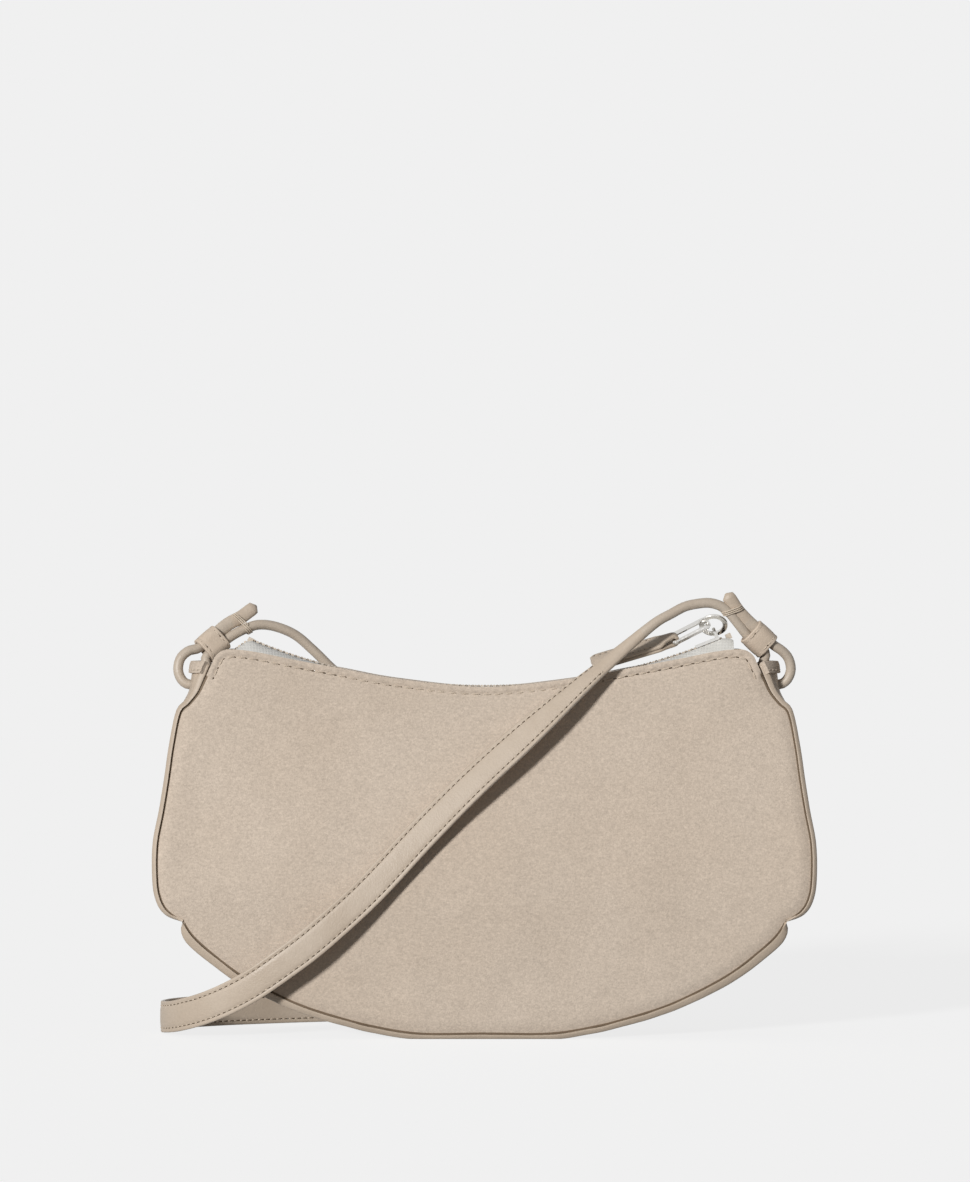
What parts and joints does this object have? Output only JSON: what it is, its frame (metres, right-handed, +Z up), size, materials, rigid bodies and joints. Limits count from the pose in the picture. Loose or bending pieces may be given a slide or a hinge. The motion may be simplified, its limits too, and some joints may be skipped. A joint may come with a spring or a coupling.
{
  "type": "crossbody bag",
  "caption": "Small half-moon suede crossbody bag with leather gussets, a curved metal zip in a dipped top edge, and a long flat strap whose rolled ends pass through the gussets.",
  "frame": {"origin": "middle of the flat under the base, on the surface that the bag stands on", "axes": "+X to the wearer's view right along the width, where the zip slider rests; -Y is the front face; +Z up"},
  "size_m": [0.264, 0.1053, 0.1781],
  "materials": {
    "suede": "matte suede nap",
    "leather": "smooth satin leather",
    "lining_fabric": "woven lining",
    "board": "stiffener board",
    "zip_tape": "woven tape",
    "silver_metal": "polished silver metal",
    "thread": "twisted thread"
  },
  "bodies": {
    "bag_body": {"front_panel": "suede", "back_panel": "suede", "side_gusset_left": "leather", "side_gusset_right": "leather", "base_gusset": "leather", "gusset_binding_left": "leather", "gusset_binding_right": "leather", "zip_tape_front": "zip_tape", "zip_tape_back": "zip_tape", "zip_teeth_front": "silver_metal", "zip_teeth_back": "silver_metal", "zip_stop_bottom": "silver_metal", "zip_stop_top_front": "silver_metal", "zip_stop_top_back": "silver_metal", "facing_front": "suede", "facing_back": "suede", "lining": "lining_fabric", "base_board": "board", "side_backing_left": "leather", "side_backing_right": "leather", "strap": "leather", "strap_cord_left": "leather", "strap_cord_right": "leather", "thread_tie_left": "thread", "thread_tie_right": "thread"},
    "slider_body": {"zip_slider": "silver_metal"},
    "ring_body": {"pull_ring": "silver_metal"},
    "link_body": {"pull_link": "silver_metal"},
    "tab_body": {"pull_tab": "leather"},
    "keeper_left_body": {"keeper_left": "leather"},
    "keeper_right_body": {"keeper_right": "leather"}
  },
  "joints": [
    {"name": "zip_travel", "type": "hinge", "parent": "bag_body", "child": "slider_body", "pos_m": [0, 0, 0.38529], "axis": [0, 1, 0], "range_deg": [0, 41]},
    {"name": "ring_swing", "type": "hinge", "parent": "slider_body", "child": "ring_body", "pos_m": [0.09199, 0, 0.16277], "axis": [0, 1, 0], "range_deg": [0, 17]},
    {"name": "link_swing", "type": "hinge", "parent": "ring_body", "child": "link_body", "pos_m": [0.08724, -0.00138, 0.16425], "axis": [0, 1, 0], "range_deg": [0, 45]},
    {"name": "tab_swing", "type": "hinge", "parent": "link_body", "child": "tab_body", "pos_m": [0.07552, -0.00138, 0.15828], "axis": [-0.2668, 0.809, 0.5237], "range_deg": [0, 34]},
    {"name": "keeper_left_slide", "type": "slide", "parent": "bag_body", "child": "keeper_left_body", "axis": [0.7048, 0.3423, 0.6214], "range_m": [0, 0.004]},
    {"name": "keeper_right_slide", "type": "slide", "parent": "bag_body", "child": "keeper_right_body", "axis": [-0.7228, -0.1947, 0.663], "range_m": [0, 0.004]}
  ]
}
